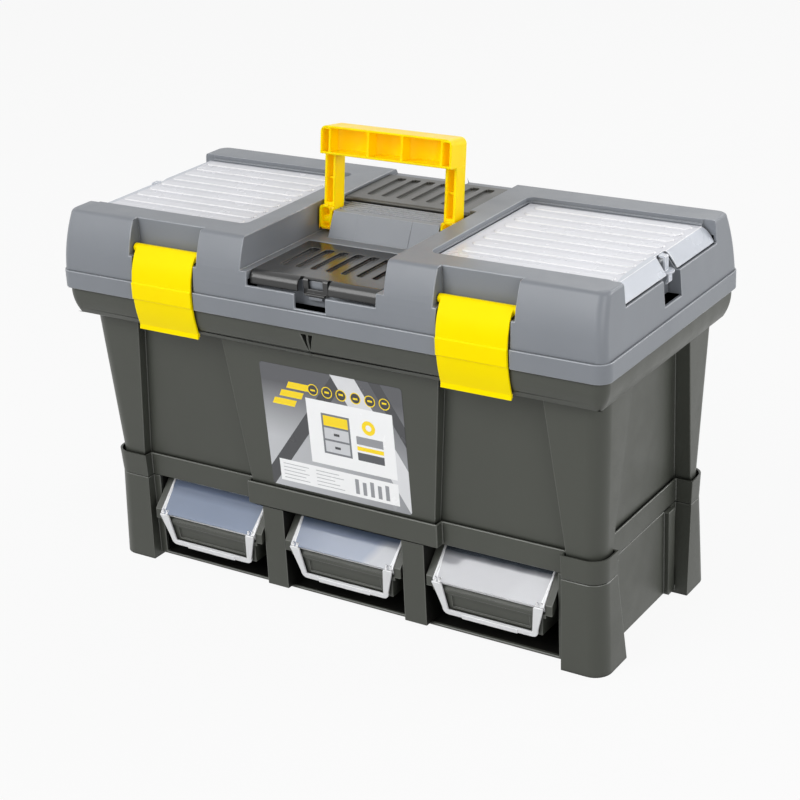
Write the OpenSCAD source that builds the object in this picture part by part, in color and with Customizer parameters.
// Portable tool box with three drawers under a deep main body, all in millimetres.
// Origin at the centre of the footprint on the floor, +X along the length, -Y to the front, +Z up.

/* [Overall] */
// Length over the lid band
box_w = 562; // [470:1:670]
// Depth over the lid band
box_d = 265; // [224:1:320]
// Height of the drawer base, floor to seam
base_h = 87; // [78:1:110]
// Height of the collar above the drawer bays
collar_h = 23; // [18:1:32]
// Height of the main body above the collar
body_h = 172; // [120:1:220]
// Height of the plain band round the lid
band_h = 17; // [14:1:22]
// Height of the domed lid above its band
dome_h = 54.7; // [52:0.1:66]

/* [Walls and gaps] */
// Wall of the base and the body
wall = 2.5; // [2:0.1:3]
// Wall of the lid
lid_wall = 3; // [2.5:0.1:3.5]
// Gap at the seams between the stacked shells
seam = 0.3; // [0.2:0.05:0.6]
// Gap between the body and the collar that it stands in
seat_gap = 1.5; // [1:0.1:2]
// Radial running clearance of every pin in its bore
pin_gap = 0.05; // [0.02:0.01:0.1]
// Gap between moving pieces
move_gap = 0.4; // [0.3:0.05:0.8]

/* [Base and collar] */
// Height of the floor above the feet
floor_lift = 3; // [2:0.5:5]
// Foot face seen from the front, corner to inner edge
foot_front_w = 41; // [34:1:48]
// Foot face seen from the side, at the floor
foot_side_low = 45; // [38:1:52]
// Foot face seen from the side, at the seam
foot_side_high = 30; // [24:1:36]
// Outward flare of each foot from the seam to the floor
foot_flare = 2.5; // [0:0.5:5]
// Corner radius of the feet and the collar
foot_r = 16; // [12:1:22]
// Setback of the foot from the lid band along X
foot_set_x = 16; // [14:1:20]
// Setback of the foot from the lid band along Y
foot_set_y = 25; // [22:1:30]
// Depth of the side panels behind the feet
side_recess = 15.5; // [10:0.5:20]
// Depth of the front and back panels behind the feet
front_recess = 8.5; // [6:0.5:12]
// Width of each pillar between two bays
pillar_w = 23.2; // [18:0.2:28]
// Width of the jamb between an outer bay and its foot
jamb_w = 7.5; // [5:0.5:12]
// Step from a pillar's edge to the collar's raised centre edge
centre_step = 15; // [10:1:22]
// Wall of the collar
collar_wall = 2; // [1.6:0.1:2.5]

/* [Main body] */
// Outward draft of the body's posts, per millimetre of height
post_draft = 0.052; // [0.03:0.001:0.06]
// Draft of the end panels
end_draft = 0.07; // [0.04:0.005:0.08]
// Taper of a post's inner edge seen from the front
post_taper_x = 0.11; // [0.05:0.01:0.13]
// Taper of a post's inner edge seen from the side
post_taper_y = 0.154; // [0.08:0.002:0.17]
// Taper of the raised centre section
centre_taper = 0.107; // [0.05:0.001:0.12]
// Height of the rounded rim under the lid
rim_h = 26; // [22:1:28]
// Radius of the rim's belly
rim_belly_r = 42; // [42:1:60]
// Setback of the rim from the lid band
rim_set = 3.1; // [2.5:0.1:4]
// Thickness of the rim's skirt
rim_wall = 3; // [2.5:0.1:3.5]
// Corner radius of the rim
rim_r = 12; // [12:1:18]
// Distance of the outer hinges from the middle
hinge_x = 181; // [150:1:200]

/* [Lid] */
// Corner radius of the lid's band
band_r = 13; // [11:1:18]
// Setback of the dome behind its band
dome_set = 2; // [1:0.5:4]
// How far the dome's ends lean in at the top
dome_lean_x = 4; // [2:0.5:8]
// How far the dome's front and back curve in at the top
dome_lean_y = 13; // [10:0.5:20]
// Radius that rolls the dome's sides into its flat top
dome_edge_r = 3; // [2:0.5:5]
// Corner radius of the dome
dome_corner_r = 9; // [8:0.5:12]
// Distance from the middle of the box to the inner edge of an organizer recess
organizer_in = 95; // [90:1:110]
// Width of the frame along the lid's front and back
frame_d = 45.5; // [40:0.5:50]
// Depth of the organizer cover's ledge below the frame
ledge_drop = 8.5; // [6:0.5:10]
// Depth of each organizer bin below its ledge
organizer_h = 31.5; // [24:0.5:32]
// Half width of the centre trough
trough_half = 74; // [72:1:84]
// Depth of the trough's floor below the frame
trough_drop = 28; // [26:0.5:30]
// Half width of the front and rear compartment covers
compartment_half = 66; // [62:0.5:68]
// Depth of the front compartment below its cover
front_bin_h = 21; // [16:0.5:22]
// Depth of the rear compartment below its cover
rear_bin_h = 34; // [24:0.5:36]
// Thickness of the covers
cover_t = 2; // [1.6:0.1:2.4]
// Number of grooves in each compartment cover
groove_n = 7; // [3:1:9]
// Number of ribs on each clear organizer cover
rib_n = 9; // [5:1:10]
// Width of each rib
rib_w = 10.5; // [5:0.5:12]
// Height of each rib
rib_h = 0.8; // [0.4:0.1:1]
// Radius of the lid hinge knuckles
knuckle_r = 4; // [3.6:0.1:5]
// Radius of the lid hinge rod
hinge_rod_r = 1.6; // [1.2:0.1:2]

/* [Latches] */
// Distance of each latch from the middle of the box
latch_x = 160; // [150:1:180]
// Width of a latch
latch_w = 67; // [50:1:70]
// Width of a latch over its ears
latch_ear_w = 74; // [56:1:76]
// Width of the pocket in the lid round a latch's ears
latch_pocket_w = 76; // [60:1:80]
// Gap each side of a latch below its ears
latch_side_gap = 1.2; // [0.8:0.1:3]
// Thickness of a latch
latch_t = 2.2; // [1.8:0.1:2.6]
// Radius of the latch rod
latch_rod_r = 1.5; // [1.2:0.1:2]

/* [Handle] */
// Half width of the grip
grip_half = 68.5; // [66:0.5:70]
// Height of the grip above the pivot, to its top
grip_top = 86.5; // [74:0.5:92]
// Height of the grip's section
grip_h = 25.5; // [20:0.5:28]
// Depth of the grip's section
grip_d = 26; // [22:1:28]
// How far the raised handle leans back, in degrees
handle_lean = 8.3; // [0:0.1:12]
// Depth of the legs
leg_d = 15.5; // [12:0.5:18]
// Distance of the ears' front and lower edges from the pivot
ear_r = 8.7; // [7.5:0.1:9.5]
// Height of the ears above the pivot
ear_rise = 14; // [10:0.5:18]
// Radius of the handle's pins
handle_pin_r = 2.5; // [2:0.1:3]

/* [Drawers] */
// How far each drawer stands out at rest
rest_out = [4, 2, 0]; // [0:1:10]
// Side gap between a drawer's flange and its bay
bay_gap = 1.4; // [1:0.1:2.5]
// Wall of the drawer bins
bin_wall = 2; // [1.6:0.1:2.4]
// Height of the bin's front lip above its floor
bin_lip_h = 24; // [18:1:30]
// Distance of the bin's floor from the ground
bin_floor_z = 24; // [12:1:30]
// Space over the runners, to the top of the bay
runner_drop = 11.3; // [10:0.1:16]
// Height of the clear cover above the bin's flange
cover_lift = 6; // [4:0.5:8]

/* [Inner tray] */
// Depth of the lift-out tray
tray_h = 50; // [30:1:60]
// Length of the tray's handle, pivot to grip
bail_len = 27; // [20:1:27]
// Half width of the tray's handle
bail_half = 60; // [50:1:80]
// Distance of the tray's cross plates from its middle
tray_divider_x = 130; // [95:5:160]

/* [Hidden] */

$fn = 48;
hull_fn = 32;
slice_t = 0.02;
over = 1;
half_w = box_w / 2;
half_d = box_d / 2;
reach = box_w + box_d;

body_colour = [0.33, 0.34, 0.32];
lid_colour = [0.50, 0.52, 0.55];
yellow = [1.0, 0.85, 0.0];
clear_colour = [0.85, 0.87, 0.92, 0.6];
front_cover_colour = [0.20, 0.20, 0.20];
rear_cover_colour = [0.36, 0.36, 0.35];
pin_colour = [0.7, 0.7, 0.72];

// Levels
floor_top = floor_lift + wall;
deck_z = base_h + seam;
deck_top = deck_z + wall;
collar_top = base_h + collar_h;
body_z = deck_top + seam;
body_top = collar_top + body_h;
rim_z = body_top - rim_h;
lid_z = body_top + seam;
band_top = lid_z + band_h;
lid_top = band_top + dome_h;
ledge_z = lid_top - ledge_drop;
channel_z = ledge_z - 3;
trough_z = lid_top - trough_drop;

// Plan outline of the base at a height
function foot_x(z) = half_w - foot_set_x - foot_flare * z / base_h;
function foot_y(z) = half_d - foot_set_y - foot_flare * z / base_h;
base_panel_x = foot_x(base_h) - side_recess;
base_panel_y = foot_y(base_h) - front_recess;
side_step = 5;
side_step_w = 12;
foot_edge_x = half_w - foot_set_x - foot_front_w;
foot_edge_low = half_d - foot_set_y - foot_side_low;
foot_edge_high = half_d - foot_set_y - foot_flare - foot_side_high;
bay_edge = foot_edge_x - jamb_w;
bay_w = (2 * bay_edge - 2 * pillar_w) / 3;
bay_pitch = bay_w + pillar_w;

// Plan outline of the collar and of the body that stands in it
collar_x = foot_x(base_h) + 1;
collar_y = foot_y(base_h) + 1;
centre_half = bay_w / 2 + pillar_w + centre_step;
centre_y = foot_y(base_h) + 0.7;
pillar_y = foot_y(base_h);
seat = collar_wall + seat_gap;
function body_x(z) = collar_x - seat + (z - collar_top) * post_draft;
function body_y(z) = collar_y - seat + (z - collar_top) * post_draft;
function panel_x(z) = base_panel_x - seat + (z - collar_top) * end_draft;
function panel_y(z) = base_panel_y - seat + (z - collar_top) * post_draft;
function post_edge_x(z) = foot_edge_x + seat - (z - collar_top) * post_taper_x;
function post_edge_y(z) = foot_edge_high + seat - (z - collar_top) * post_taper_y;
function centre_x(z) = centre_half - seat + (z - collar_top) * centre_taper;
function centre_front(z) = centre_y - seat + (z - collar_top) * 0.064;

// Rim and hinge
rim_x = half_w - rim_set;
rim_y = half_d - rim_set;
hinge_y = rim_y + 0.6;
hinge_z = lid_z - 1;
hinge_places = [-hinge_x, 0, hinge_x];
hinge_body_w = 20;
hinge_lid_w = 12;
lip_gap = 1.8;
lip_h = 5;
lip_t = 2;
belly_top = 3;
notch_x = -6.5;
notch_half = 6.2;
belly_steps = 8;

// Lid top
dome_x = half_w - dome_set;
dome_y = half_d - dome_set;
band_in_x = dome_x - lid_wall - over;
band_in_y = dome_y - lid_wall - over;
organizer_half = half_d - frame_d;
organizer_floor = ledge_z - organizer_h;
cover_in = organizer_in + 9;
cover_fold_x = half_w - 16;
cover_half = organizer_half - 5;
recess_r = 7.5;
recess_step = 1.3;
recess_step_z = 4.2;
cover_overhang = 2.4;
plate_t = 1.6;
cover_z = ledge_z + 1.6;
flap_x = half_w - 6.5;
flap_z = lid_top - 19.3;
organizer_pin_x = organizer_in + 5.5;
organizer_pin_z = ledge_z + 1;
organizer_pin_r = 1;
organizer_barrel_r = 2.4;
organizer_rod_half = organizer_half + 2;
bin_side = organizer_half - 8.5;
bin_near = cover_in + 1.6;
bin_far = cover_fold_x - 4;
catch_front_y = -19;
catch_back_y = 13.5;
catch_drop = 24;

// Compartments in the trough
front_cover_z = trough_z - 2.1;
front_pin_y = -33.5;
front_pin_z = trough_z - 2.2;
front_edge_y = -(half_d - 8);
front_bin_front = -(half_d - 18);
front_bin_back = -40;
rear_pin_y = 30;
rear_pin_z = lid_top - 5.2;
rear_cover_z = lid_top - 5;
rear_edge_y = half_d - 26;
compartment_pin_r = 1;
compartment_barrel_r = 2;
barrel_space = compartment_barrel_r + 0.8;
compartment_rod_half = compartment_half + 3;
cover_play = 0.7;
front_bin_side = compartment_half - 4;
rear_bin_side = compartment_half - 6;
rear_bin_front = rear_pin_y + 5;
rear_bin_back = rear_edge_y - 6;
catch_half = 16;
hook_half = 7;
front_skirt_h = 11.5;
catch_h = 25;
tongue_half = 9;

// Handle and the block between its ears
handle_z = lid_top - 16.5;
block_half = 56.5;
block_low_y = -18;
block_high_y = -6;
block_top = lid_top - 6;
strip_y = 1;
strip_z = block_top - 1.2;
ridge_n = 5;
ridge_pitch = 4.9;
ridge_w = 1.6;
ridge_h = 1.4;
ear_in = block_half + 1.1;
ear_out = trough_half - 2.8;
leg_in = ear_in + 0.2;
leg_out = grip_half + 0.5;
handle_pin_in = block_half - 4;
handle_pin_out = trough_half + 1.5;

// Latch
latch_pivot_y = -(half_d - 14.5);
latch_pivot_z = lid_top - 26;
latch_barrel_r = 4;
latch_front = half_d + 1.2;
latch_low_z = rim_z - 1;
keeper_z = rim_z + 5;
latch_rod_half = latch_pocket_w / 2 + 2;

// Drawers
bin_front_y = -(half_d - 29);
bin_back_y = half_d - 50;
runner_z = base_h - runner_drop;
flange_z = runner_z + seam;
flange_t = 2;
lip_z = bin_floor_z + bin_lip_h;
slope_run = flange_z - lip_z;
bin_lean = 4;
bin_low_half = bay_w / 2 - 13.8;
bin_high_half = bay_w / 2 - 7.8;
flange_half = bay_w / 2 - bay_gap;
runner_in = bin_high_half + 1.6;
slope_y = bin_front_y + slope_run;
lip_out = 1.4;
fold_y = bin_front_y - 4.4;
fold_z = lip_z + cover_lift;
cover_half_w = bay_w / 2 - 8.8;
rim_gap = 0.5;
clasp_drop = 32;
clasp_lean = 9;

// Inner tray
tray_ledge_z = body_top - 12;
tray_z = tray_ledge_z + seam;
tray_flange_t = 2.5;
tray_half_x = panel_x(tray_ledge_z) - wall - 3;
tray_half_y = panel_y(tray_ledge_z) - wall - 3;
tray_wall = 2;
bail_z = tray_z - 4;

// ---- Shared forms ----

module both_x() {
    children();
    mirror([1, 0, 0]) children();
}

module both_y() {
    children();
    mirror([0, 1, 0]) children();
}

module along_x(len) {
    rotate([90, 0, 90]) linear_extrude(len, center = true) children();
}

module along_y(len) {
    rotate([90, 0, 0]) linear_extrude(len, center = true) children();
}

module box(x0, x1, y0, y1, z0, z1) {
    translate([x0, y0, z0]) cube([x1 - x0, y1 - y0, z1 - z0]);
}

module rounded_rect(hx, hy, r) {
    square([2 * hx, 2 * (hy - r)], center = true);
    square([2 * (hx - r), 2 * hy], center = true);
    for (sx = [-1, 1], sy = [-1, 1]) translate([sx * (hx - r), sy * (hy - r)]) circle(r);
}

module rounded_slab(hx, hy, r, z0, z1) {
    translate([0, 0, z0]) linear_extrude(z1 - z0) rounded_rect(hx, hy, r);
}

// Thin slice that a hull lofts between
module slice(hx, hy, r, z) {
    for (sx = [-1, 1], sy = [-1, 1])
        translate([sx * (hx - r), sy * (hy - r), z]) cylinder(h = slice_t, r = r, $fn = hull_fn);
}

// Straight sided block whose half sizes change from the bottom to the top
module draft_block(z0, z1, x0, x1, y0, y1) {
    intersection() {
        along_y(reach) polygon([[-x0, z0], [x0, z0], [x1, z1], [-x1, z1]]);
        along_x(reach) polygon([[-y0, z0], [y0, z0], [y1, z1], [-y1, z1]]);
    }
}

// Everything outside a tapering cross, which cuts a loft down to its four corner posts
module corner_columns(z0, z1, x0, x1, y0, y1) {
    intersection() {
        along_y(reach) for (s = [-1, 1])
            polygon([[s * x0, z0], [s * reach, z0], [s * reach, z1], [s * x1, z1]]);
        along_x(reach * 2) for (s = [-1, 1])
            polygon([[s * y0, z0], [s * reach, z0], [s * reach, z1], [s * y1, z1]]);
    }
}

// Profile swept round a rectangle with round corners; the profile's X is the distance from the path
module ring_sweep(path_x, path_y) {
    both_y() translate([0, path_y, 0]) rotate([90, 0, 90])
        linear_extrude(2 * path_x, center = true) children();
    both_x() translate([path_x, 0, 0]) rotate([90, 0, 0])
        linear_extrude(2 * path_y, center = true) children();
    both_x() both_y() translate([path_x, path_y, 0]) rotate_extrude(angle = 90) children();
}

module pin_x(y, z, r, x0, x1) {
    translate([x0, y, z]) rotate([0, 90, 0]) cylinder(h = x1 - x0, r = r);
}

module pin_y(x, z, r, y0, y1) {
    translate([x, y0, z]) rotate([-90, 0, 0]) cylinder(h = y1 - y0, r = r);
}

// ---- Drawer base ----

module base_posts(inset, z0, z1) {
    intersection() {
        hull() {
            slice(foot_x(z0) - inset, foot_y(z0) - inset, foot_r - inset, z0);
            slice(foot_x(z1) - inset, foot_y(z1) - inset, foot_r - inset, z1 - slice_t);
        }
        corner_columns(0, base_h, foot_edge_x + inset, foot_edge_x + inset,
                       foot_edge_low + inset, foot_edge_high + inset);
    }
}

module base_panels(inset, z0, z1) {
    box(-base_panel_x + inset, base_panel_x - inset, -base_panel_y + inset, base_panel_y - inset, z0, z1);
}

module drawer_base() color(body_colour) {
    difference() {
        union() {
            base_posts(0, 0, base_h);
            base_panels(0, floor_lift, base_h);
            // narrow step of each side panel beside its feet
            both_x() both_y() box(0, base_panel_x + side_step,
                                  foot_edge_low - side_step_w, foot_edge_low + over, floor_lift, base_h);
        }
        difference() {
            union() {
                base_posts(wall, 0, base_h);
                base_panels(wall, floor_lift, base_h + over);
            }
            box(-reach, reach, -reach, reach, floor_lift, floor_top);
        }
        box(-bay_edge, bay_edge, -reach, -base_panel_y + wall + over, floor_top, base_h + over);
    }
}

// ---- Drawer deck ----

module collar_form(inset, z0, z1) {
    intersection() {
        hull() {
            slice(foot_x(base_h) - inset, foot_y(base_h) - inset, foot_r - inset, z0);
            slice(collar_x - inset, collar_y - inset, foot_r - inset, z1 - slice_t);
        }
        corner_columns(z0, z1, foot_edge_x + inset, foot_edge_x + inset,
                       foot_edge_high + inset, foot_edge_high + inset);
    }
    base_panels(inset, z0, z1);
    box(-centre_half + inset, centre_half - inset, -centre_y + inset, centre_y - inset, z0, z1);
}

// Pillar front with the two partition walls behind it, open below and behind
module pillar(x) {
    difference() {
        box(x - pillar_w / 2, x + pillar_w / 2, -pillar_y, base_panel_y - wall - seam, floor_top, deck_z);
        box(x - pillar_w / 2 + wall, x + pillar_w / 2 - wall,
            -pillar_y + wall, reach, floor_top - over, deck_z);
    }
}

// Ledge along a bay's wall that the drawer's flange slides on, rooted in that wall
module runner(x, side) {
    root = x + side * over;
    edge = x - side * (bay_w / 2 - runner_in);
    box(min(root, edge), max(root, edge),
        bin_front_y + slope_run + 4, base_panel_y - wall - seam, runner_z - 3, runner_z);
}

module drawer_deck() color(body_colour) {
    difference() {
        collar_form(0, deck_z, collar_top);
        collar_form(collar_wall, deck_top, collar_top + over);
    }
    both_x() {
        pillar(bay_pitch / 2);
        box(bay_edge, bay_edge + wall, -base_panel_y + wall + seam, base_panel_y - wall - seam,
            floor_top, deck_z);
    }
    for (i = [-1, 0, 1], side = [-1, 1]) runner(i * bay_pitch + side * bay_w / 2, side);
}

// ---- Main body ----

module body_form(inset, z0, z1) {
    draft_block(z0, z1, panel_x(z0) - inset, panel_x(z1) - inset, panel_y(z0) - inset, panel_y(z1) - inset);
    draft_block(z0, z1, centre_x(z0) - inset, centre_x(z1) - inset,
                centre_front(z0) - inset, centre_front(z1) - inset);
    intersection() {
        hull() {
            slice(body_x(z0) - inset, body_y(z0) - inset, foot_r - inset, z0);
            slice(body_x(z1) - inset, body_y(z1) - inset, foot_r - inset, z1 - slice_t);
        }
        corner_columns(z0, z1, post_edge_x(z0) + inset, post_edge_x(z1) + inset,
                       post_edge_y(z0) + inset, post_edge_y(z1) + inset);
    }
}

// Outward distance of the rim's belly from the corner centre at a height
function belly(z) = z > body_top - belly_top ? rim_r
    : rim_r - rim_belly_r + sqrt(pow(rim_belly_r, 2) - pow(body_top - belly_top - z, 2));
belly_levels = [for (i = [0:belly_steps]) rim_z + (rim_h - belly_top) * i / belly_steps];

module rim_profile() {
    polygon(concat(
        [for (z = belly_levels) [belly(z), z]],
        [[rim_r, body_top], [rim_r - rim_wall, body_top]],
        [for (i = [belly_steps:-1:0]) [belly(belly_levels[i]) - rim_wall, belly_levels[i]]]
    ));
}

module main_body() color(body_colour) {
    difference() {
        union() {
            body_form(0, body_z, body_top);
            ring_sweep(rim_x - rim_r, rim_y - rim_r) rim_profile();
            rounded_slab(rim_x, rim_y, rim_r, body_top - wall, body_top);
            lid_lip();
            for (x = hinge_places)
                pin_x(hinge_y, hinge_z, knuckle_r, x - hinge_body_w / 2, x + hinge_body_w / 2);
            for (s = [-1, 1]) keeper_cheeks(s * latch_x);
        }
        body_form(wall, body_z + wall, body_top + over);
        for (s = [-1, 1]) keeper_notch(s * latch_x);
        catch_notch();
        for (x = hinge_places) {
            pin_x(hinge_y, hinge_z, hinge_rod_r + pin_gap, x - hinge_body_w, x + hinge_body_w);
            both_hinge_sides(x) pin_x(hinge_y, hinge_z, knuckle_r + move_gap,
                                      hinge_body_w / 2, hinge_body_w / 2 + hinge_lid_w + 2 * move_gap);
        }
    }
    tray_ledges();
}

// Repeats what is drawn on the right of a hinge on its left too
module both_hinge_sides(x) {
    translate([x, 0, 0]) both_x() children();
}

// Upstand that the lid closes over
module lid_lip() {
    lip_x = band_in_x - lip_gap;
    lip_y = band_in_y - lip_gap;
    difference() {
        rounded_slab(lip_x, lip_y, band_r - lid_wall, body_top - over, body_top + lip_h);
        rounded_slab(lip_x - lip_t, lip_y - lip_t, band_r - lid_wall - lip_t,
                     body_top - 2 * over, body_top + lip_h + over);
    }
}

// Cheeks either side of a latch notch in the rim, which stiffen the skirt
module keeper_cheeks(x) {
    both_hinge_sides(x) box(latch_w / 2 - 3.5, latch_w / 2 - 1.5, -rim_y + 8, -panel_y(rim_z) + wall,
                            rim_z + 4, body_top - over);
}

module keeper_notch(x) {
    box(x - latch_w / 2 + 4, x + latch_w / 2 - 4, -rim_y - over, -rim_y + 12, rim_z - over, keeper_z);
}

// Tapering notch in the rim under the lid's catch, split by one rib
module catch_notch() {
    top = body_top - 4;
    difference() {
        translate([notch_x, -rim_y, 0]) along_y(20)
            polygon([[-notch_half, top], [notch_half, top], [0.8, rim_z + 4]]);
        box(notch_x - 0.2, notch_x + 2, -reach, reach, rim_z, body_top);
    }
}

// Brackets on the end walls that the tray's flange stands on
module tray_ledges() {
    both_x() both_y() intersection() {
        translate([panel_x(tray_ledge_z) - wall, half_d * 0.35, 0]) rotate([90, 0, 0])
            linear_extrude(24, center = true)
            polygon([[1, tray_ledge_z], [-8, tray_ledge_z], [-8, tray_ledge_z - 3], [0, tray_ledge_z - 12],
                     [1, tray_ledge_z - 12]]);
        draft_block(body_z, body_top, panel_x(body_z) - over, panel_x(body_top) - over,
                    panel_y(body_z), panel_y(body_top));
    }
}

module lid_hinge_rods() color(pin_colour) {
    half = hinge_body_w / 2 + hinge_lid_w;
    for (x = hinge_places) pin_x(hinge_y, hinge_z, hinge_rod_r, x - half, x + half);
}

// ---- Lid ----

// Share of the dome's height, its roll into the flat top, and its half sizes at a height
function dome_part(z) = min(max((z - band_top) / dome_h, 0), 1);
function edge_roll(z) = dome_edge_r
    - sqrt(pow(dome_edge_r, 2) - pow(max(z - lid_top + dome_edge_r, 0), 2));
function end_x(z) = dome_x - dome_lean_x * dome_part(z) - edge_roll(z);
function front_y(z) = dome_y - dome_lean_y * pow(dome_part(z), dome_curve) - edge_roll(z);
dome_curve = 2.2;
dome_steps = 8;
dome_levels = concat(
    [for (i = [0:dome_steps]) band_top + (dome_h - dome_edge_r) * i / dome_steps],
    [for (turn = [25, 50]) lid_top - dome_edge_r * (1 - sin(turn))]
);

module dome(inset, top) {
    hull() {
        for (z = dome_levels) if (z < top - slice_t)
            slice(end_x(z) - inset, front_y(z) - inset, dome_corner_r - inset / 2, z);
        slice(end_x(top) - inset, front_y(top) - inset, dome_corner_r - inset / 2, top - slice_t);
    }
}

module lid_outside() {
    dome(0, lid_top);
    rounded_slab(half_w, half_d, band_r, lid_z, band_top);
}

module lid_inside() {
    dome(lid_wall, lid_top - lid_wall);
    rounded_slab(band_in_x, band_in_y, band_r - lid_wall, lid_z - over, band_top + over);
}

// Cut that a latch lies in, drawn as its side profile and grown by a wall for its own lining
module latch_recess(grow) {
    back = latch_pivot_y + 6.8 + grow;
    low = -half_d + 4.5 + grow;
    bend_z = latch_pivot_z - 12 - grow;
    ear_z = latch_pivot_z - latch_barrel_r - 1.5 - grow;
    for (s = [-1, 1]) translate([s * latch_x, 0, 0]) {
        along_x(latch_w + 2 * latch_side_gap + 2 * grow)
            polygon([[-reach, lid_z - over], [low, lid_z - over], [low, band_top + 4 - grow],
                     [back, bend_z], [back, lid_top + over], [-reach, lid_top + over]]);
        along_x(latch_pocket_w + 2 * grow)
            polygon([[-reach, ear_z], [back, ear_z], [back, lid_top + over], [-reach, lid_top + over]]);
    }
}

// Linings that hang inside the lid: bins, trough and latch pockets
module lid_linings() {
    both_x() {
        box(organizer_in - lid_wall, end_x(flap_z) - lid_wall,
            -organizer_half - lid_wall, organizer_half + lid_wall, channel_z - wall, lid_top);
        box(bin_near - lid_wall, half_w, -bin_side - wall, bin_side + wall, organizer_floor - wall, lid_top);
    }
    box(-trough_half - wall, trough_half + wall, -reach, rear_pin_y + 1, trough_z - wall, lid_top);
    box(-compartment_half - 4, compartment_half + 4, -reach, front_pin_y + barrel_space + wall,
        front_pin_z - barrel_space - wall, lid_top);
    box(-front_bin_side - wall, front_bin_side + wall, front_bin_front - wall, front_bin_back + wall,
        front_cover_z - front_bin_h - wall, lid_top);
    box(-compartment_half - 4, compartment_half + 4, rear_pin_y - barrel_space - wall, reach,
        rear_pin_z - barrel_space - wall, lid_top);
    box(-rear_bin_side - wall, rear_bin_side + wall, rear_bin_front - wall, rear_bin_back + wall,
        rear_cover_z - rear_bin_h - wall, lid_top);
    latch_recess(lid_wall);
}

// Plan of the organizer's recess, open at the end, with round inner corners
module recess_plan(inset) {
    x = organizer_in + inset;
    y = organizer_half - inset;
    r = recess_r - inset;
    translate([x + r, -y]) square([reach, 2 * y]);
    translate([x, -y + r]) square([reach, 2 * (y - r)]);
    for (s = [-1, 1]) translate([x + r, s * (y - r)]) circle(r);
}

// Organizer bay on the right: stepped recess, hinge channel, bin and the sloped end
module organizer_cuts() {
    translate([0, 0, ledge_z + recess_step_z]) linear_extrude(lid_top) recess_plan(0);
    translate([0, 0, ledge_z]) linear_extrude(lid_top) recess_plan(recess_step);
    intersection() {
        translate([0, 0, channel_z]) linear_extrude(lid_top) recess_plan(recess_step);
        box(0, bin_near - over, -half_d, half_d, channel_z - over, lid_top + over);
    }
    box(bin_near, bin_far, -bin_side, bin_side, organizer_floor, lid_top);
    along_y(2 * organizer_half + 3) polygon([
        [cover_fold_x - 1.5, lid_top + over], [cover_fold_x - 1.5, ledge_z], [flap_x - 1.9, flap_z - 1.2],
        [reach, flap_z - 1.2], [reach, lid_top + over]]);
    box(cover_fold_x + 0.5, half_w + over, catch_front_y, catch_back_y, flap_z - catch_drop, lid_top);
    pin_y(organizer_pin_x, organizer_pin_z, organizer_pin_r + pin_gap,
          -organizer_rod_half, organizer_rod_half);
}

// Front compartment: bin, cover seat, the front cut that the cover rolls over, and the catch opening
module front_compartment_cuts() {
    half = compartment_half + cover_play;
    back = front_pin_y + barrel_space;
    box(-front_bin_side, front_bin_side, front_bin_front, front_bin_back,
        front_cover_z - front_bin_h, lid_top);
    box(-half, half, -reach, back, front_cover_z - seam, lid_top);
    box(-half, half, front_pin_y - barrel_space, back, front_pin_z - barrel_space, lid_top);
    box(-half, half, -reach, front_bin_front - wall, trough_z - front_skirt_h - 0.5, lid_top);
    box(-catch_half, catch_half, -reach, front_bin_front - wall, trough_z - catch_h, lid_top);
    pin_x(front_pin_y, front_pin_z, compartment_pin_r + pin_gap, -compartment_rod_half, compartment_rod_half);
}

module rear_compartment_cuts() {
    half = compartment_half + cover_play;
    front = rear_pin_y - compartment_barrel_r - 0.6;
    box(-rear_bin_side, rear_bin_side, rear_bin_front, rear_bin_back,
        rear_cover_z - rear_bin_h, lid_top + over);
    box(-half, half, front, reach, rear_cover_z - seam, lid_top + over);
    box(-half, half, front, rear_pin_y + barrel_space, rear_pin_z - barrel_space, lid_top + over);
    box(-tongue_half - 3, tongue_half + 3, rear_edge_y - 1.5, reach, rear_cover_z - 12, lid_top);
    pin_x(rear_pin_y, rear_pin_z, compartment_pin_r + pin_gap, -compartment_rod_half, compartment_rod_half);
}

// Sloped block between the handle's ears, with the ridged strip behind it
module handle_block() {
    low = trough_z - over;
    back = rear_pin_y - compartment_barrel_r - 0.6;
    difference() {
        union() {
            along_x(2 * block_half) polygon([
                [block_low_y, low], [block_high_y, block_top], [strip_y, block_top],
                [strip_y, strip_z], [back, strip_z], [back, low]]);
            for (i = [0:ridge_n - 1]) translate([0, strip_y + ridge_pitch * (i + 0.7), 0])
                box(-block_half, block_half, -ridge_w / 2, ridge_w / 2, strip_z - over, strip_z + ridge_h);
            // raised panel in the middle of the slope
            along_x(block_half) polygon([
                [block_low_y - 0.6, low], [block_high_y - 0.6, block_top],
                [block_high_y + 2, block_top], [block_low_y + 2, low]]);
        }
        along_x(2 * (block_half - lid_wall)) polygon([
            [block_low_y + 4, trough_z - lid_wall], [block_high_y + 2, strip_z - lid_wall],
            [back - lid_wall, strip_z - lid_wall], [back - lid_wall, trough_z - lid_wall]]);
    }
}

module lid_knuckles() {
    near = hinge_body_w / 2 + move_gap;
    for (x = hinge_places) both_hinge_sides(x) pin_x(hinge_y, hinge_z, knuckle_r, near, near + hinge_lid_w);
}

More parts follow.
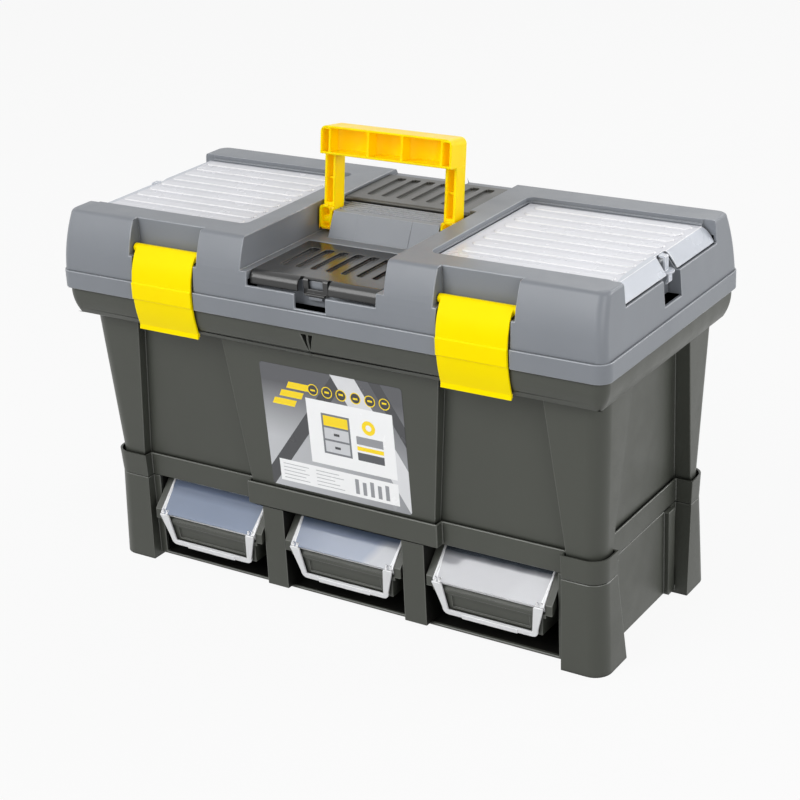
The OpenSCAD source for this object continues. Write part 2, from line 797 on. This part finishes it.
module lid() color(lid_colour) {
    difference() {
        union() {
            difference() {
                lid_outside();
                difference() {
                    lid_inside();
                    lid_linings();
                }
                both_x() organizer_cuts();
                box(-trough_half, trough_half, -reach, rear_pin_y - 2.6, trough_z, lid_top + over);
                front_compartment_cuts();
                rear_compartment_cuts();
                latch_recess(0);
                for (x = hinge_places) pin_x(hinge_y, hinge_z, knuckle_r + move_gap,
                    x - hinge_body_w / 2 - move_gap, x + hinge_body_w / 2 + move_gap);
            }
            handle_block();
            lid_knuckles();
            catch_hook();
        }
        for (x = hinge_places)
            pin_x(hinge_y, hinge_z, hinge_rod_r + pin_gap, x - hinge_body_w * 2, x + hinge_body_w * 2);
        both_x() pin_x(0, handle_z, handle_pin_r + pin_gap, handle_pin_in, handle_pin_out);
        for (x = [-latch_x, latch_x])
            pin_x(latch_pivot_y, latch_pivot_z, latch_rod_r + pin_gap,
                  x - latch_rod_half, x + latch_rod_half);
    }
}

// Hook in the lid's front that the front cover snaps under
module catch_hook() {
    box(-hook_half, hook_half, front_bin_front - wall - 4, front_bin_front - wall + 0.5,
        trough_z - 19, trough_z - 15.5);
}

module organizer_hinge_rods() color(pin_colour) {
    both_x() pin_y(organizer_pin_x, organizer_pin_z, organizer_pin_r,
                   -organizer_rod_half, organizer_rod_half);
}

module compartment_hinge_rods() color(pin_colour) {
    pin_x(front_pin_y, front_pin_z, compartment_pin_r, -compartment_rod_half, compartment_rod_half);
    pin_x(rear_pin_y, rear_pin_z, compartment_pin_r, -compartment_rod_half, compartment_rod_half);
}

module handle_pins() color(pin_colour) {
    both_x() pin_x(0, handle_z, handle_pin_r, handle_pin_in, handle_pin_out);
}

module latch_rods() color(pin_colour) {
    for (x = [-latch_x, latch_x])
        pin_x(latch_pivot_y, latch_pivot_z, latch_rod_r, x - latch_rod_half, x + latch_rod_half);
}

// Three cross plates that stand in an organizer bin
module organizer_dividers() {
    for (i = [1:3]) translate([bin_near + (bin_far - bin_near) * i / 4, 0, 0])
        box(-plate_t / 2, plate_t / 2, -bin_side + seam, bin_side - seam, organizer_floor, ledge_z - 4);
}

module organizer_dividers_left() color(lid_colour) mirror([1, 0, 0]) organizer_dividers();
module organizer_dividers_right() color(lid_colour) organizer_dividers();

// ---- Organizer covers ----

stem_half = 3.4;
spoon_half = 8.5;
spoon_reach = 8;
tab_root_x = cover_fold_x - 1;
stem_x = flap_x - 5.7;
hook_x = flap_x - 2.4;
window_front = -9;
window_back = 13;
window_r = 6;
flap_half = organizer_half + 1.2;
flap_corner = 5;
rib_margin = 9;

module organizer_cover() {
    sheet_top = cover_z + cover_t;
    rib_pitch = 2 * (cover_half - rib_margin) / (rib_n - 1);
    rib_x0 = cover_in + 4;
    rib_x1 = cover_fold_x - 5;
    difference() {
        union() {
            box(organizer_pin_x - cover_overhang, cover_fold_x,
                -cover_half, cover_half, cover_z, sheet_top);
            // edge that stands on the ledge
            difference() {
                box(cover_in, cover_fold_x, -cover_half, cover_half, ledge_z + seam, cover_z + over);
                box(cover_in + 1.5, cover_fold_x + over, -cover_half + 1.5, cover_half - 1.5,
                    ledge_z - over, cover_z + over + over);
            }
            // end flap
            intersection() {
                along_y(2 * flap_half) polygon([
                    [cover_fold_x - 1, sheet_top], [cover_fold_x, sheet_top], [flap_x, flap_z],
                    [flap_x - 1.6, flap_z - 0.4], [cover_fold_x - 1, cover_z]]);
                along_x(reach) polygon([
                    [-cover_half, sheet_top], [cover_half - 1, sheet_top], [cover_half + 2, sheet_top - 1.5],
                    [flap_half - 1, sheet_top - flap_corner], [flap_half, sheet_top - flap_corner - 4],
                    [flap_half, flap_z + 2], [flap_half - 2, flap_z - 1], [-flap_half, flap_z - 1]]);
            }
            // ribs
            translate([(rib_x0 + rib_x1) / 2, 0, sheet_top]) along_x(rib_x1 - rib_x0)
                for (i = [0:rib_n - 1]) translate([-cover_half + rib_margin + i * rib_pitch, 0]) polygon([
                    [-rib_w / 2, -0.5], [-rib_w / 2, 0], [-rib_w / 2 + rib_h, rib_h],
                    [rib_w / 2 - rib_h, rib_h], [rib_w / 2, 0], [rib_w / 2, -0.5]]);
            // hinge barrels
            for (y = [-0.8, 0, 0.8]) translate([0, y * cover_half, 0])
                pin_y(organizer_pin_x, organizer_pin_z, organizer_barrel_r, -9, 9);
        }
        pin_y(organizer_pin_x, organizer_pin_z, organizer_pin_r + pin_gap, -reach, reach);
        // windows beside the snap tab's stem, with one corner cut round
        translate([(tab_root_x - 0.9 + half_w) / 2, 0, 0]) along_x(half_w - tab_root_x + 0.9) polygon([
            [window_front, flap_z - 5], [window_back, flap_z - 5], [window_back, sheet_top - window_r],
            [window_back - window_r * 0.3, sheet_top - window_r * 0.3],
            [window_back - window_r, sheet_top + over],
            [window_front, sheet_top + over]]);
    }
}

// Snap tab: a round root, a stem that drops through the flap, a spoon to pull and a hook below
module organizer_tab() {
    sheet_top = cover_z + cover_t;
    pin_y(tab_root_x + 0.6, sheet_top - 0.95, 0.95, -stem_half, stem_half);
    along_y(2 * stem_half) polygon([
        [tab_root_x + 0.6, sheet_top], [stem_x + 1, sheet_top - 0.3], [stem_x + 1.8, sheet_top - 1.2],
        [stem_x + 1.8, flap_z + 0.4], [stem_x, flap_z + 0.4], [stem_x, sheet_top - 1.9],
        [tab_root_x + 0.6, sheet_top - 1.9]]);
    translate([stem_x, 0, flap_z - 0.2]) intersection() {
        scale([spoon_reach / spoon_half, 1, 1]) cylinder(h = 1.6, r = spoon_half);
        box(0, reach, -reach, reach, 0, 1.6);
    }
    along_y(2 * stem_half) polygon([
        [hook_x, flap_z + 0.2], [hook_x + 1.8, flap_z + 0.2], [hook_x + 1.8, flap_z - 8],
        [hook_x - 1.2, flap_z - 10.5], [hook_x - 1.2, flap_z - 7.5], [hook_x, flap_z - 5.5]]);
}

module organizer_cover_left() color(clear_colour) mirror([1, 0, 0]) organizer_cover();
module organizer_cover_right() color(clear_colour) organizer_cover();
module organizer_tab_left() color(clear_colour) mirror([1, 0, 0]) organizer_tab();
module organizer_tab_right() color(clear_colour) organizer_tab();

// ---- Compartment covers ----

groove_w = 9.5;
groove_deep = 2.1;
groove_floor = 0.9;
roll_r = 8;
lever_half = 12.5;
lever_gap = 3.5;
lever_roll_r = 3.2;
lever_window = 7.5;
lever_y = front_bin_front - wall - 0.8 - cover_t;
lever_low_z = trough_z - 14.5;
front_groove_y0 = front_edge_y + 26;
front_groove_y1 = front_pin_y - 14;
rear_groove_y0 = rear_pin_y + 12;
rear_groove_y1 = rear_edge_y - 7;

module each_groove() {
    pitch = (2 * compartment_half - 30) / (groove_n - 0.6);
    for (i = [0:groove_n - 1]) translate([(i - (groove_n - 1) / 2) * pitch, 0, 0]) children();
}

// Sunk channels with clipped corners
module grooves(y0, y1, top) {
    each_groove() translate([0, 0, top - groove_deep]) linear_extrude(groove_deep + over) {
        translate([-groove_w / 2, y0 + 1.5]) square([groove_w, y1 - y0 - 3]);
        translate([-groove_w / 2 + 1.5, y0]) square([groove_w - 3, y1 - y0]);
    }
}

// Underside of the sunk channels
module groove_floors(y0, y1, top) {
    each_groove() box(-groove_w / 2 - 1, groove_w / 2 + 1, y0 - 1, y1 + 1,
                      top - groove_deep - groove_floor, top - over);
}

module front_compartment_cover() color(front_cover_colour) {
    top = front_cover_z + cover_t + 0.3;
    difference() {
        union() {
            difference() {
                union() {
                    box(-compartment_half, compartment_half, front_edge_y + roll_r, front_pin_y,
                        front_cover_z, top);
                    rolled_edge(compartment_half, front_edge_y, roll_r, top, trough_z - front_skirt_h);
                }
                box(-lever_half - lever_gap, lever_half + lever_gap, -reach, lever_y + lever_roll_r,
                    -reach, reach);
            }
            pin_x(front_pin_y, front_pin_z, compartment_barrel_r, -compartment_half, compartment_half);
            groove_floors(front_groove_y0, front_groove_y1, top);
            // snap lever with its finger lip
            rolled_edge(lever_half, lever_y, lever_roll_r, top, lever_low_z);
            box(-lever_half + 2, lever_half - 2, lever_y - 3, lever_y + over, lever_low_z, lever_low_z + 1.5);
        }
        pin_x(front_pin_y, front_pin_z, compartment_pin_r + pin_gap, -reach, reach);
        grooves(front_groove_y0, front_groove_y1, top);
        box(-lever_window, lever_window, lever_y - over, lever_y + cover_t + over,
            trough_z - 9.5, trough_z - 1);
    }
}

// Front edge of a cover, rolled down to a skirt of the cover's thickness
module rolled_edge(half, y, r, top, low) {
    intersection() {
        difference() {
            pin_x(y + r, top - r, r, -half, half);
            pin_x(y + r, top - r, r - cover_t, -reach, reach);
        }
        box(-reach, reach, -reach, y + r, top - r, top);
    }
    box(-half, half, y, y + cover_t, low, top - r);
}

module rear_compartment_cover() color(rear_cover_colour) {
    top = rear_cover_z + cover_t;
    difference() {
        union() {
            box(-compartment_half, compartment_half, rear_pin_y, rear_edge_y, rear_cover_z, top);
            pin_x(rear_pin_y, rear_pin_z, compartment_barrel_r, -compartment_half, compartment_half);
            groove_floors(rear_groove_y0, rear_groove_y1, top);
            // snap tongue over the back edge
            box(-tongue_half, tongue_half, rear_edge_y - over, rear_edge_y + 1.6, rear_cover_z - 9, top);
        }
        pin_x(rear_pin_y, rear_pin_z, compartment_pin_r + pin_gap, -reach, reach);
        grooves(rear_groove_y0, rear_groove_y1, top);
    }
}

// ---- Handle ----

grip_y0 = -13.4;
grip_y1 = grip_y0 + grip_d;
grip_z0 = grip_top - grip_h;
grip_wall = 2;
grip_mid = 16.5;
grip_rib = 2.5;
grip_corner_r = 6;
slot_w = 7;
arch = 9;
leg_y1 = grip_y1 - 1.1;
leg_y0 = leg_y1 - leg_d;
leg_wall = 2.2;
ear_wall = 2.2;
ear_corner_r = 4.5;
ear_back = 8;

// The handle is drawn upright with its pivot at the origin, then leant back and lifted to the lid
module at_pivot() {
    translate([0, 0, handle_z]) rotate([-handle_lean, 0, 0]) children();
}

// Grip seen from the front, with its round outer corners
module grip_outline() {
    half_h = grip_h / 2;
    translate([0, grip_z0 + half_h]) {
        square([2 * (grip_half - grip_corner_r), grip_h], center = true);
        translate([0, -grip_corner_r / 2]) square([2 * grip_half, grip_h - grip_corner_r], center = true);
        for (s = [-1, 1]) translate([s * (grip_half - grip_corner_r), half_h - grip_corner_r])
            circle(grip_corner_r);
    }
}

// Pocket in the grip, open to the front, with an arched floor
module grip_pocket(x0, x1) {
    mid = (x0 + x1) / 2;
    half = abs(x1 - x0) / 2;
    edge_depth = grip_d * 0.45;
    floor_r = (half * half + arch * arch) / (2 * arch);
    translate([mid, 0, grip_z0 + grip_wall]) linear_extrude(grip_h - 2 * grip_wall) intersection() {
        translate([-half, grip_y0 - over]) square([2 * half, grip_d - grip_wall + over]);
        union() {
            translate([-half, grip_y0 - over]) square([2 * half, edge_depth + 0.6 + over]);
            translate([0, grip_y0 + edge_depth + arch - floor_r]) circle(max(floor_r, half));
        }
    }
}

// Ear seen from the front: a tall plate with round corners
module ear_outline(inset) {
    half = (ear_out - ear_in) / 2 - inset;
    low = -ear_r + inset;
    high = ear_rise - inset;
    r = ear_corner_r - inset / 2;
    translate([(ear_in + ear_out) / 2, 0]) {
        translate([-half, low + r]) square([2 * half, high - low - 2 * r]);
        translate([-half + r, low]) square([2 * (half - r), high - low]);
        for (sx = [-1, 1], sz = [low + r, high - r]) translate([sx * (half - r), sz]) circle(r);
    }
}

// Ear with a pocket open to the front, and a boss in it round the pin
module ear() {
    difference() {
        intersection() {
            along_y(reach) ear_outline(0);
            along_x(reach) polygon([[-ear_r, ear_rise], [-ear_r, -ear_r + 2.5], [-ear_r + 2.5, -ear_r],
                                    [ear_back - 4, -ear_r], [ear_back, -ear_r + 4], [leg_y1, ear_rise]]);
        }
        difference() {
            translate([0, -ear_r, 0]) along_y(2 * (ear_r + 3)) ear_outline(ear_wall);
            pin_x(0, 0, handle_pin_r + 2, 0, reach);
        }
    }
}

// Leg with a channel open to the front, crossed by one rib
module handle_leg() {
    difference() {
        box(leg_in, leg_out, leg_y0, leg_y1, ear_rise - 4, grip_z0 + over);
        difference() {
            box(leg_in + leg_wall, leg_out - leg_wall, leg_y0 - over, leg_y1 - leg_wall,
                ear_rise + 2, grip_z0 - 2);
            box(0, reach, 0, reach, ear_rise + 23, ear_rise + 25);
        }
    }
}

module handle() color(yellow) at_pivot() {
    difference() {
        translate([0, (grip_y0 + grip_y1) / 2, 0]) along_y(grip_d) grip_outline();
        grip_pocket(-grip_mid, grip_mid);
        for (s = [-1, 1]) grip_pocket(s * (grip_mid + grip_rib), s * (grip_half - slot_w - 2 * grip_wall));
        both_x() box(grip_half - grip_wall - slot_w, grip_half - grip_wall,
                     grip_y0 - over, grip_y1 - grip_wall, grip_z0 + grip_wall, grip_top - 3);
    }
    both_x() difference() {
        union() {
            ear();
            handle_leg();
        }
        pin_x(0, 0, handle_pin_r + pin_gap, 0, reach);
    }
}

// ---- Latches ----

// Side profile of a latch, from its barrel down to the flicked lip
latch_belly = 0.42;
latch_back_top = 7.2;
latch_back_low = 6.7;
latch_steps = 10;
latch_power = 2.2;
latch_end_y = -latch_front + latch_back_low;
function latch_bow(t) = t < latch_belly
    ? latch_back_top * pow((latch_belly - t) / latch_belly, latch_power)
    : latch_back_low * pow((t - latch_belly) / (1 - latch_belly), latch_power);
function latch_curve(t, inset) = [
    -latch_front + inset + latch_bow(t),
    latch_pivot_z - latch_barrel_r + (latch_low_z + latch_barrel_r - latch_pivot_z) * t
];

module latch_profile() {
    outer = [for (i = [0:latch_steps]) latch_curve(i / latch_steps, 0)];
    inner = [for (i = [latch_steps:-1:0]) latch_curve(i / latch_steps, latch_t)];
    top = [[latch_pivot_y + 1, latch_pivot_z - latch_barrel_r + 0.2],
           [latch_pivot_y, latch_pivot_z + latch_barrel_r],
           [latch_pivot_y - 2.5, latch_pivot_z + latch_barrel_r - 0.8]];
    polygon(concat(outer, inner, top));
}

module latch(x) {
    difference() {
        union() {
            translate([x, 0, 0]) along_x(latch_w) latch_profile();
            pin_x(latch_pivot_y, latch_pivot_z, latch_barrel_r, x - latch_ear_w / 2, x + latch_ear_w / 2);
            // raised middle panel, bounded by the two bump lines
            translate([x, 0, 0]) along_x(latch_w) polygon([
                [-latch_front - 0.9, lid_z + 17], [-latch_front - 1.1, lid_z + 2],
                [-latch_front + 1, lid_z + 1.2], [-latch_front + 1, lid_z + 18]]);
            // flicked lip
            translate([x, 0, 0]) along_x(latch_w) polygon([
                [latch_end_y - 0.6, latch_low_z + 5], [latch_end_y - 1.9, latch_low_z - 1.5],
                [latch_end_y + 0.2, latch_low_z - 1.8], [latch_end_y + latch_t, latch_low_z + 3]]);
            // tooth under the rim
            box(x - latch_w / 2 + 6, x + latch_w / 2 - 6, latch_end_y + 0.5, -rim_y + 7.6,
                keeper_z - 3.2, keeper_z - 0.7);
        }
        pin_x(latch_pivot_y, latch_pivot_z, latch_rod_r + pin_gap, -reach, reach);
    }
}

module latch_left() color(yellow) latch(-latch_x);
module latch_right() color(yellow) latch(latch_x);

// ---- Drawers ----

module at_bay(i) {
    translate([(i - 1) * bay_pitch, -rest_out[i], 0]) children();
}

// Side profile of a drawer bin, with the wall taken off for its inside
module bin_form(inset) {
    rise = inset * 6;
    intersection() {
        along_x(reach) polygon([
            [bin_front_y + bin_lean + inset, bin_floor_z + inset], [bin_front_y + inset, lip_z],
            [bin_front_y + inset, lip_z + rise], [bin_front_y + slope_run + inset, flange_z + rise],
            [bin_back_y - inset, flange_z + rise], [bin_back_y - inset, flange_z],
            [bin_back_y - 2 - inset, bin_floor_z + inset]]);
        along_y(reach) polygon([
            [-bin_low_half + inset, bin_floor_z + inset], [bin_low_half - inset, bin_floor_z + inset],
            [bin_high_half - inset, flange_z + rise], [-bin_high_half + inset, flange_z + rise]]);
    }
}

module drawer_bin(i) color(body_colour) at_bay(i) {
    rim_y0 = bin_front_y - 1.2;
    thick = window_deep + bin_wall;
    difference() {
        union() {
            bin_form(0);
            along_x(2 * flange_half) polygon([
                [bin_front_y - lip_out, lip_z], [slope_y - 0.8, flange_z + flange_t],
                [bin_back_y + 2, flange_z + flange_t], [bin_back_y + 2, flange_z],
                [slope_y, flange_z], [bin_front_y, lip_z - 0.6]]);
            // band turned down along the front lip
            along_x(2 * bin_high_half) polygon([
                [bin_front_y - lip_out, lip_z], [bin_front_y + over, lip_z],
                [front_face(lip_z - lip_band) + over, lip_z - lip_band],
                [front_face(lip_z - lip_band) - 1, lip_z - lip_band]]);
            // rims either side of the clear cover
            both_x() translate([(cover_half_w + rim_gap + flange_half) / 2, 0, 0])
                along_x(flange_half - cover_half_w - rim_gap) polygon([
                    [rim_y0, lip_z + 0.2], [rim_y0, rim_line(rim_y0)], [slope_y, rim_line(slope_y)],
                    [slope_y + 12, rim_line(slope_y)], [slope_y + 12, flange_z + over],
                    [slope_y - 0.8, flange_z + over]]);
        }
        intersection() {
            bin_form(bin_wall);
            // thicker wall behind the window
            along_x(reach) polygon([
                [-reach, reach], [-reach, lip_z + over], [bin_front_y + bin_wall, lip_z + over],
                [front_face(lip_z - 4) + bin_wall, lip_z - 4], [front_face(lip_z - 6) + thick, lip_z - 6],
                [front_face(bin_floor_z) + thick, bin_floor_z], [reach, bin_floor_z], [reach, reach]]);
        }
        // label window sunk in the front
        along_x(2 * window_half) polygon([
            [front_face(window_low) - over, window_low],
            [front_face(window_low) + window_deep, window_low],
            [front_face(window_high) + window_deep, window_high],
            [front_face(window_high) - over, window_high]]);
    }
}

// Place of the bin's leaning front wall at a height
function front_face(z) = bin_front_y + bin_lean * (lip_z - z) / bin_lip_h;
window_half = bin_low_half - 12;
window_low = bin_floor_z + 5.5;
window_high = lip_z - 6.5;
window_deep = 1.6;
lip_band = 4;

lug_places = [2.6, 6.8];
lug_w = 1.8;
lug_h = 5;

// Height of the bin's raised rims, just below the cover's surface
function rim_line(y) = fold_z + (y - fold_y) + 0.4;

// Height of the top of the bin's sloping flange
function flange_line(y) = lip_z
    + (y - bin_front_y + lip_out) * (flange_z + flange_t - lip_z) / (slope_run + lip_out - 0.8);

// Sloping clear cover, hollow below, with a raised edge and a fold lug at each side
module drawer_cover(i) color(clear_colour) at_bay(i) {
    plate = 1.6;
    skirt = 1.6;
    tail = 14;
    tail_z = flange_z + flange_t + 1.5;
    tail_y = fold_y + tail_z + plate - fold_z;
    difference() {
        along_x(2 * cover_half_w) polygon([
            [fold_y + 1.1, fold_z + 1.5], [tail_y, tail_z + plate], [tail_y + tail, tail_z + plate],
            [tail_y + tail, flange_z + flange_t + seam],
            [slope_y - 0.8, flange_z + flange_t + 1.5 * seam],
            [bin_front_y, flange_line(bin_front_y) + 1.5 * seam], [fold_y + 3.6, fold_z - 0.4]]);
        along_x(2 * (cover_half_w - skirt)) polygon([
            [fold_y + 4.2, fold_z + 1.6], [tail_y + 0.6, tail_z], [tail_y + tail + 2, tail_z],
            [tail_y + tail + 2, flange_z], [slope_y, flange_z], [bin_front_y - 1, lip_z - 2]]);
    }
    both_x() {
        translate([cover_half_w - 1, 0, 0]) along_x(2) polygon([
            [fold_y + 2.2, fold_z + 2], [tail_y - 0.2, tail_z + plate], [tail_y - 0.6, tail_z + plate + 0.8],
            [fold_y + 1.6, fold_z + 2.8]]);
        for (x = lug_places) translate([cover_half_w - x, 0, 0]) along_x(lug_w) polygon([
            [fold_y + 1.3, fold_z + 1.6], [fold_y + 1.6, fold_z + lug_h], [fold_y + 3.4, fold_z + lug_h],
            [fold_y + 4.6, fold_z + 3.6]]);
    }
}

// Points of a round lower corner of the clasp, in order round the outline
function clasp_corner(x, r, side) = [
    for (k = [0:6]) let (a = side > 0 ? 10 - 100 * k / 6 : -90 - 100 * k / 6)
        [side * (x - r) + r * cos(a), -clasp_drop + r + r * sin(a)]
];

// U-shaped frame in front of the bin, hinged at the fold
module drawer_clasp(i) color(clear_colour) at_bay(i) {
    top_half = cover_half_w;
    low_half = cover_half_w - 7.5;
    leg_top = 9.5;
    leg_low = 5.8;
    bar = 4.8;
    corner = 6;
    thick = 2;
    lip_half = 28;
    fold_r = 1.1;
    translate([0, fold_y + 1, fold_z]) {
        both_x() translate([top_half - leg_top + 1, 0, 0]) rotate([0, 90, 0])
            cylinder(h = leg_top - 1, r = fold_r);
        rotate([90 + clasp_lean, 0, 0]) translate([0, 0, -thick / 2]) {
            difference() {
                linear_extrude(thick) polygon(concat(
                    [[-top_half, 0], [top_half, 0]], clasp_corner(low_half, corner, 1),
                    clasp_corner(low_half, corner, -1)));
                translate([0, 0, -over]) linear_extrude(thick + 2 * over) polygon([
                    [-top_half + leg_top, over], [top_half - leg_top, over],
                    [low_half - leg_low, -clasp_drop + bar], [-low_half + leg_low, -clasp_drop + bar]]);
            }
            // finger lip
            translate([-lip_half, -clasp_drop, thick - 0.2]) cube([2 * lip_half, bar, 1.4]);
        }
    }
}

// ---- Inner tray ----

module inner_tray() color(front_cover_colour) {
    floor_z = tray_z + tray_flange_t - tray_h;
    low_x = tray_half_x - 12;
    low_y = tray_half_y - 8;
    high_x = tray_half_x - 7;
    high_y = tray_half_y - 4;
    difference() {
        union() {
            draft_block(floor_z, tray_z + tray_flange_t, low_x, high_x, low_y, high_y);
            rounded_slab(tray_half_x, tray_half_y, 8, tray_z, tray_z + tray_flange_t);
        }
        draft_block(floor_z + tray_wall, tray_z + tray_flange_t + over,
                    low_x - tray_wall, high_x - tray_wall, low_y - tray_wall, high_y - tray_wall);
    }
    // spine with the handle's sockets
    box(-low_x + 1, low_x - 1, -1.5, 1.5, floor_z + over, tray_z - 10);
    both_x() difference() {
        box(bail_half + 2 + move_gap, bail_half + 8, -5, 5, floor_z + over, bail_z + 4.5);
        pin_x(0, bail_z, 2 + pin_gap, bail_half, bail_half + 6);
    }
}

module tray_handle() color(yellow) {
    both_x() {
        pin_x(0, bail_z, 2, bail_half - 2, bail_half + 5.5);
        pin_x(0, bail_z, 3.5, bail_half - 3, bail_half + 2);
        box(bail_half - 3, bail_half + 2, 0, bail_len, bail_z - 2.5, bail_z + 2.5);
    }
    pin_x(bail_len, bail_z, 4, -bail_half + 3, bail_half - 3);
    both_x() box(bail_half - 4, bail_half + 2, bail_len - 4, bail_len + 2, bail_z - 2.5, bail_z + 2.5);
}

module tray_dividers() color(front_cover_colour) {
    floor_z = tray_z + tray_flange_t - tray_h + tray_wall;
    for (x = [-tray_divider_x, tray_divider_x], s = [-1, 1])
        box(x - plate_t / 2, x + plate_t / 2, min(s * 2, s * (tray_half_y - 12)),
            max(s * 2, s * (tray_half_y - 12)), floor_z + 0.1, tray_z - 12);
}

drawer_base();
drawer_deck();
main_body();
lid_hinge_rods();
lid();
organizer_hinge_rods();
compartment_hinge_rods();
handle_pins();
latch_rods();
organizer_dividers_left();
organizer_dividers_right();
organizer_cover_left();
organizer_cover_right();
organizer_tab_left();
organizer_tab_right();
front_compartment_cover();
rear_compartment_cover();
handle();
latch_left();
latch_right();
for (i = [0:2]) {
    drawer_bin(i);
    drawer_cover(i);
    drawer_clasp(i);
}
inner_tray();
tray_dividers();
tray_handle();
